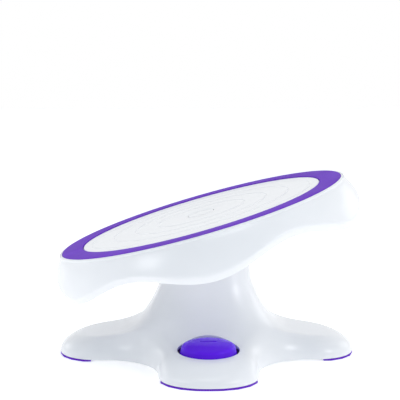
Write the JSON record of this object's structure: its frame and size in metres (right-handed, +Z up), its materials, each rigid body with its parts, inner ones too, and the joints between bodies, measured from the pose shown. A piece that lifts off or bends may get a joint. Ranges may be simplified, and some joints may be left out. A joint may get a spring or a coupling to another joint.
{
  "type": "cake turntable",
  "caption": "Tilting cake-decorating turntable: turning round platter with wavy skirt on a tilting head, four-legged flared base and push-button tilt lock.",
  "frame": {"origin": "on the floor under the middle of the base", "axes": "+Z up; -Y is the front, where the release button is; +X is to the right of someone facing the button; stored tilted 16 degrees with the left side down"},
  "size_m": [0.3349, 0.3552, 0.2033],
  "materials": {
    "white_abs": "glossy white moulded plastic",
    "inner_abs": "matt white moulded plastic",
    "purple_abs": "glossy blue-violet moulded plastic",
    "purple_rubber": "satin purple soft grip rubber",
    "steel": "bright drawn and pressed steel",
    "zinc_screw": "zinc-plated steel",
    "acetal": "natural low-friction plastic"
  },
  "bodies": {
    "base": {"base_shell": "white_abs", "base_plate": "inner_abs", "foot_left": "purple_rubber", "foot_right": "purple_rubber", "foot_front": "purple_rubber", "foot_back": "purple_rubber", "pivot_yoke": "inner_abs", "guide_tower": "inner_abs", "lever_bracket": "inner_abs", "lever_pin": "steel", "tilt_axle": "steel", "axle_clip_front": "steel", "axle_clip_back": "steel", "button_spring_left": "steel", "button_spring_right": "steel", "rod_spring": "steel", "base_screw_1": "zinc_screw", "base_screw_2": "zinc_screw", "base_screw_3": "zinc_screw", "base_screw_4": "zinc_screw", "yoke_screw_1": "zinc_screw", "yoke_screw_2": "zinc_screw", "yoke_screw_3": "zinc_screw", "yoke_screw_4": "zinc_screw", "tower_screw_left": "zinc_screw", "tower_screw_right": "zinc_screw"},
    "button": {"release_button": "purple_abs"},
    "lever": {"release_lever": "acetal"},
    "lock": {"lock_rod": "acetal"},
    "tilt_head": {"tilt_head": "inner_abs", "index_sector": "steel", "lower_race": "steel", "tilt_bush_front": "acetal", "tilt_bush_back": "acetal"},
    "bearing_cage": {"ball_cage": "acetal", "ball_01": "steel", "ball_02": "steel", "ball_03": "steel", "ball_04": "steel", "ball_05": "steel", "ball_06": "steel", "ball_07": "steel", "ball_08": "steel", "ball_09": "steel", "ball_10": "steel", "ball_11": "steel", "ball_12": "steel"},
    "platter": {"platter_shell": "white_abs", "grip_ring": "purple_rubber", "upper_race": "steel", "pivot_screw": "zinc_screw", "centre_cap": "white_abs"}
  },
  "joints": [
    {"name": "button_press", "type": "slide", "parent": "base", "child": "button", "axis": [0, 0.0924, -0.9957], "range_m": [0, 0.006], "stiffness_N_per_m": 350, "springref_m": -0.006, "deforming": ["button_spring_left", "button_spring_right"]},
    {"name": "lever_rock", "type": "hinge", "parent": "base", "child": "lever", "pos_m": [0, 0.095, 0.0139], "axis": [1, 0, 0], "range_deg": [0, 1.8]},
    {"name": "lock_drop", "type": "slide", "parent": "base", "child": "lock", "axis": [0, 0, -1], "range_m": [0, 0.003], "deforming": ["rod_spring"]},
    {"name": "tilt_hinge", "type": "hinge", "parent": "base", "child": "tilt_head", "pos_m": [0, 0, 0.1353], "axis": [0, 1, 0], "range_deg": [-8, 40]},
    {"name": "cage_spin", "type": "hinge", "parent": "tilt_head", "child": "bearing_cage", "pos_m": [0, 0, 0.1353], "axis": [-0.2756, 0, 0.9613], "continuous": true},
    {"name": "platter_spin", "type": "hinge", "parent": "tilt_head", "child": "platter", "pos_m": [0, 0, 0.1353], "axis": [-0.2756, 0, 0.9613], "continuous": true}
  ],
  "couplings": [
    {"joint": "lever_rock", "follows": "button_press", "rad_per_m": 5.0251},
    {"joint": "lock_drop", "follows": "button_press", "ratio": 0.47739},
    {"joint": "cage_spin", "follows": "platter_spin", "ratio": 0.5}
  ]
}
